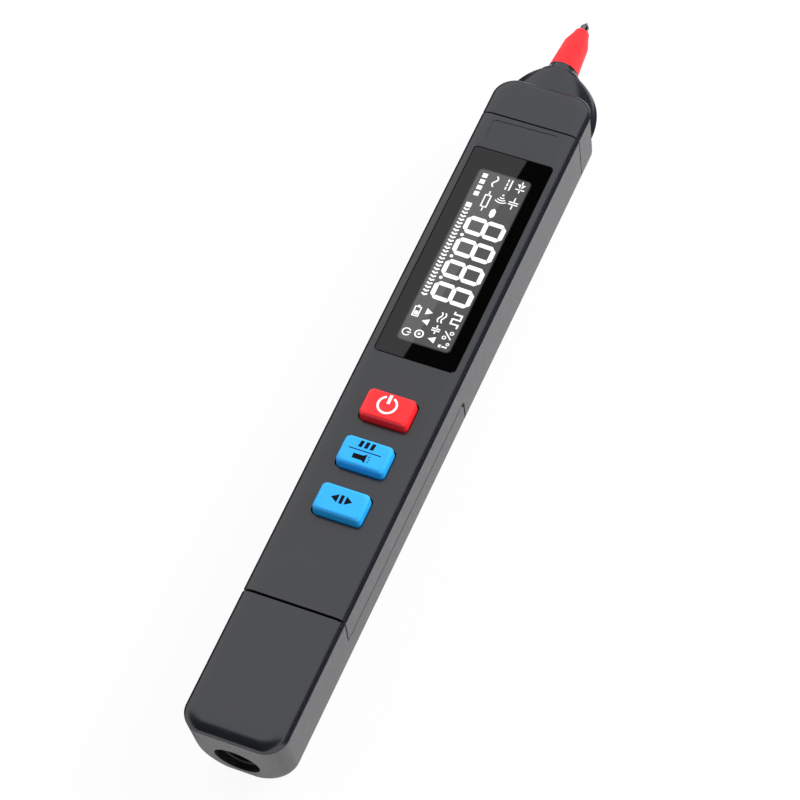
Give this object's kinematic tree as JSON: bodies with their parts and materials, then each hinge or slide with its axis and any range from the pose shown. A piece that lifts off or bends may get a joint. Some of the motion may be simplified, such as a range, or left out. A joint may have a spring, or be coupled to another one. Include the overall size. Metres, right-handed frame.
{
  "type": "pen multimeter",
  "caption": "Pen-shaped digital multimeter with a needle probe at one end, a shrouded test lead socket at the other, a display window and press keys.",
  "frame": {"origin": "middle of the resting back face, half way between the socket end and the needle's point", "axes": "+Y along the body towards the probe, +Z out of the display face, +X across the body to the right of the display"},
  "size_m": [0.022, 0.1878, 0.0207],
  "materials": {
    "satin_face": "satin",
    "textured_side": "fine texture",
    "window": "polished",
    "display_glass": "clear",
    "diffuser": "satin",
    "black_plastic": "matt",
    "silicone": "matt",
    "circuit_board": "satin",
    "red_key": "satin",
    "blue_key": "satin",
    "pale_plastic": "matt",
    "needle_steel": "polished",
    "contact_brass": "plated",
    "red_sleeve": "satin",
    "cell_jacket": "printed film",
    "plated_steel": "plated",
    "thermistor_coat": "dipped",
    "clear_resin": "clear"
  },
  "bodies": {
    "meter": {"front_cover": "satin_face", "main_housing": "textured_side", "nose_cap": "satin_face", "display_window": "window", "lcd_panel": "display_glass", "lcd_backlight": "diffuser", "lcd_frame": "black_plastic", "lcd_contact_strip": "silicone", "main_board": "circuit_board", "key_switches": "black_plastic", "probe_needle": "needle_steel", "probe_collet": "contact_brass", "probe_clip": "contact_brass", "com_contact": "contact_brass", "com_insulator": "black_plastic", "com_tab": "contact_brass", "battery_cell": "cell_jacket", "battery_button": "plated_steel", "battery_holder": "black_plastic", "battery_leaf": "plated_steel", "battery_plate": "plated_steel", "case_screws": "plated_steel", "meter_chip": "black_plastic", "chip_pins": "plated_steel", "clock_crystal": "plated_steel", "range_resistors": "black_plastic", "input_thermistor": "thermistor_coat", "buzzer": "black_plastic", "torch_led": "clear_resin", "torch_lens": "clear_resin"},
    "power_key": {"power_button": "red_key", "power_plunger": "pale_plastic"},
    "light_key": {"light_button": "blue_key", "light_plunger": "pale_plastic"},
    "select_key": {"select_button": "blue_key", "select_plunger": "pale_plastic"},
    "cover": {"battery_cover": "textured_side"},
    "sleeve": {"probe_sleeve": "red_sleeve"}
  },
  "joints": [
    {"name": "power_press", "type": "slide", "parent": "meter", "child": "power_key", "axis": [0, 0, -1], "range_m": [0, 0.0005], "stiffness_N_per_m": 3000},
    {"name": "light_press", "type": "slide", "parent": "meter", "child": "light_key", "axis": [0, 0, -1], "range_m": [0, 0.0005], "stiffness_N_per_m": 3000},
    {"name": "select_press", "type": "slide", "parent": "meter", "child": "select_key", "axis": [0, 0, -1], "range_m": [0, 0.0005], "stiffness_N_per_m": 3000},
    {"name": "battery_cover_slide", "type": "slide", "parent": "meter", "child": "cover", "axis": [0, -1, 0], "range_m": [0, 0.1]},
    {"name": "probe_sleeve_pull", "type": "slide", "parent": "meter", "child": "sleeve", "axis": [0, 1, 0], "range_m": [0, 0.02]}
  ]
}
